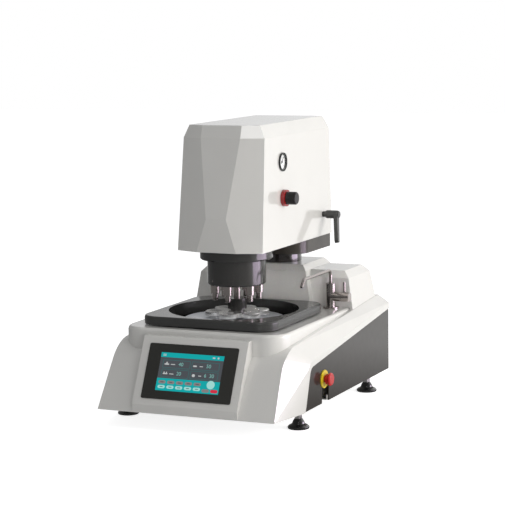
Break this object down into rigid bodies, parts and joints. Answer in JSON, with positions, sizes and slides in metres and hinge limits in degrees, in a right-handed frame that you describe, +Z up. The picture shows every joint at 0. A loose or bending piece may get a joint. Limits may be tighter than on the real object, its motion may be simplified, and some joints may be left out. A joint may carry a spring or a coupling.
{
  "type": "metallographic grinder-polisher",
  "caption": "Bench grinder-polisher: a platen in a water bowl, a power head on a column that presses specimens onto it, a touch screen and a swivelling faucet.",
  "frame": {"origin": "on the bench, in the middle of the four feet", "axes": "+Z up, +Y towards the back of the machine, +X towards its right side, where the emergency stop, the gauge and the clamp lever are"},
  "size_m": [0.5219, 0.735, 0.704],
  "materials": {
    "white_cover": "gloss",
    "grey_paint": "satin",
    "arm_paint": "satin",
    "black_frame": "satin",
    "screen_glass": "gloss",
    "bowl_plastic": "satin",
    "ring_plastic": "gloss",
    "platen_metal": "satin",
    "steel": "satin",
    "lever_metal": "satin",
    "bare_aluminium": "satin",
    "black_anodised": "satin",
    "cast": "matte",
    "motor_paint": "satin",
    "belt_rubber": "matte",
    "foot_rubber": "satin",
    "drain_plastic": "matte",
    "box_paint": "satin",
    "inlet_plastic": "matte",
    "brass": "satin",
    "black_metal": "satin",
    "chrome": "gloss",
    "holder_metal": "gloss",
    "gauge_black": "gloss",
    "gauge_glass": "gloss",
    "needle_black": "satin",
    "regulator_red": "gloss",
    "knob_black": "satin",
    "stop_yellow": "satin",
    "stop_red": "gloss"
  },
  "bodies": {
    "cabinet": {"base_cover": "white_cover", "base_plate": "steel", "left_side_panel": "grey_paint", "right_side_panel": "grey_paint", "rear_panel": "grey_paint", "tower_cover": "white_cover", "screen_bezel": "black_frame", "touch_screen": "screen_glass", "bowl": "bowl_plastic", "drive_frame": "arm_paint", "bearing_housing": "cast", "platen_bearings": "steel", "platen_motor": "motor_paint", "drive_belt": "belt_rubber", "drain_pipe": "drain_plastic", "control_box": "box_paint", "power_inlet": "inlet_plastic", "hose_inlets": "brass", "foot_pads": "foot_rubber", "foot_bolts": "steel", "column": "steel", "column_foot": "black_metal", "faucet_body": "chrome", "stop_collar": "stop_yellow"},
    "splash_ring": {"splash_ring": "ring_plastic"},
    "platen": {"platen": "platen_metal", "platen_carrier": "bare_aluminium", "platen_shaft": "steel", "driven_pulley": "cast"},
    "motor_rotor": {"motor_pulley": "steel"},
    "head": {"arm": "arm_paint", "head_plate": "bare_aluminium", "head_cover": "white_cover", "head_flange": "black_anodised", "quill_housing": "cast", "lift_cylinder": "bare_aluminium", "gauge_case": "gauge_black", "gauge_lens": "gauge_glass", "regulator_body": "regulator_red"},
    "quill": {"quill": "steel", "quill_bearings": "steel", "spindle_motor": "motor_paint", "lift_rod": "chrome"},
    "spindle": {"spindle_shaft": "chrome", "pressure_cylinder": "black_anodised", "coupling": "black_anodised", "specimen_holder": "holder_metal"},
    "clamp_lever": {"clamp_lever": "lever_metal"},
    "gauge_needle": {"gauge_needle": "needle_black"},
    "regulator_knob": {"regulator_knob": "knob_black"},
    "faucet_spout": {"faucet_spout": "chrome"},
    "faucet_lever": {"faucet_lever": "chrome"},
    "stop_stem": {"stop_stem": "steel"},
    "stop_button": {"stop_button": "stop_red"},
    "piston_1": {"piston_1": "chrome"},
    "piston_2": {"piston_2": "chrome"},
    "piston_3": {"piston_3": "chrome"},
    "piston_4": {"piston_4": "chrome"},
    "piston_5": {"piston_5": "chrome"},
    "piston_6": {"piston_6": "chrome"}
  },
  "joints": [
    {"name": "platen_spin", "type": "hinge", "parent": "cabinet", "child": "platen", "pos_m": [0, -0.09, 0.15], "axis": [0, 0, 1], "continuous": true},
    {"name": "motor_spin", "type": "hinge", "parent": "cabinet", "child": "motor_rotor", "pos_m": [-0.118, 0.105, 0.1], "axis": [0, 0, 1], "continuous": true},
    {"name": "ring_lift", "type": "slide", "parent": "cabinet", "child": "splash_ring", "axis": [0, 0, 1], "range_m": [0, 0.04]},
    {"name": "head_swing", "type": "hinge", "parent": "cabinet", "child": "head", "pos_m": [0, 0.212, 0.4], "axis": [0, 0, 1], "range_deg": [-12, 12]},
    {"name": "quill_lift", "type": "slide", "parent": "head", "child": "quill", "axis": [0, 0, 1], "range_m": [0, 0.04]},
    {"name": "spindle_spin", "type": "hinge", "parent": "quill", "child": "spindle", "pos_m": [0, -0.07, 0.35], "axis": [0, 0, 1], "continuous": true},
    {"name": "clamp_turn", "type": "hinge", "parent": "head", "child": "clamp_lever", "pos_m": [0.14, 0.222, 0.455], "axis": [1, 0, 0], "range_deg": [0, 90]},
    {"name": "gauge_turn", "type": "hinge", "parent": "head", "child": "gauge_needle", "pos_m": [0.112, -0.031, 0.6095], "axis": [1, 0, 0], "range_deg": [-95, 175], "stiffness_Nm_per_rad": 0.001},
    {"name": "regulator_turn", "type": "hinge", "parent": "head", "child": "regulator_knob", "pos_m": [0.13, -0.03, 0.5215], "axis": [1, 0, 0], "range_deg": [-720, 720]},
    {"name": "spout_swivel", "type": "hinge", "parent": "cabinet", "child": "faucet_spout", "pos_m": [0.168, 0.1285, 0.28], "axis": [0, 0, 1], "range_deg": [-24, 90]},
    {"name": "faucet_valve", "type": "hinge", "parent": "cabinet", "child": "faucet_lever", "pos_m": [0.2, 0.1285, 0.2585], "axis": [1, 0, 0], "range_deg": [0, 90]},
    {"name": "stop_push", "type": "slide", "parent": "cabinet", "child": "stop_stem", "axis": [-1, 0, 0], "range_m": [0, 0.004], "stiffness_N_per_m": 500, "springref_m": -0.004},
    {"name": "stop_twist", "type": "hinge", "parent": "stop_stem", "child": "stop_button", "pos_m": [0.26, -0.1215, 0.0996], "axis": [1, 0, 0], "range_deg": [-40, 0], "stiffness_Nm_per_rad": 0.02, "springref_deg": 5.73},
    {"name": "piston_1_press", "type": "slide", "parent": "spindle", "child": "piston_1", "axis": [0, 0, -1], "range_m": [0, 0.016], "stiffness_N_per_m": 300, "springref_m": -0.02},
    {"name": "piston_2_press", "type": "slide", "parent": "spindle", "child": "piston_2", "axis": [0, 0, -1], "range_m": [0, 0.016], "stiffness_N_per_m": 300, "springref_m": -0.02},
    {"name": "piston_3_press", "type": "slide", "parent": "spindle", "child": "piston_3", "axis": [0, 0, -1], "range_m": [0, 0.016], "stiffness_N_per_m": 300, "springref_m": -0.02},
    {"name": "piston_4_press", "type": "slide", "parent": "spindle", "child": "piston_4", "axis": [0, 0, -1], "range_m": [0, 0.016], "stiffness_N_per_m": 300, "springref_m": -0.02},
    {"name": "piston_5_press", "type": "slide", "parent": "spindle", "child": "piston_5", "axis": [0, 0, -1], "range_m": [0, 0.016], "stiffness_N_per_m": 300, "springref_m": -0.02},
    {"name": "piston_6_press", "type": "slide", "parent": "spindle", "child": "piston_6", "axis": [0, 0, -1], "range_m": [0, 0.016], "stiffness_N_per_m": 300, "springref_m": -0.02}
  ],
  "couplings": [
    {"joint": "motor_spin", "follows": "platen_spin", "ratio": 2.4}
  ]
}
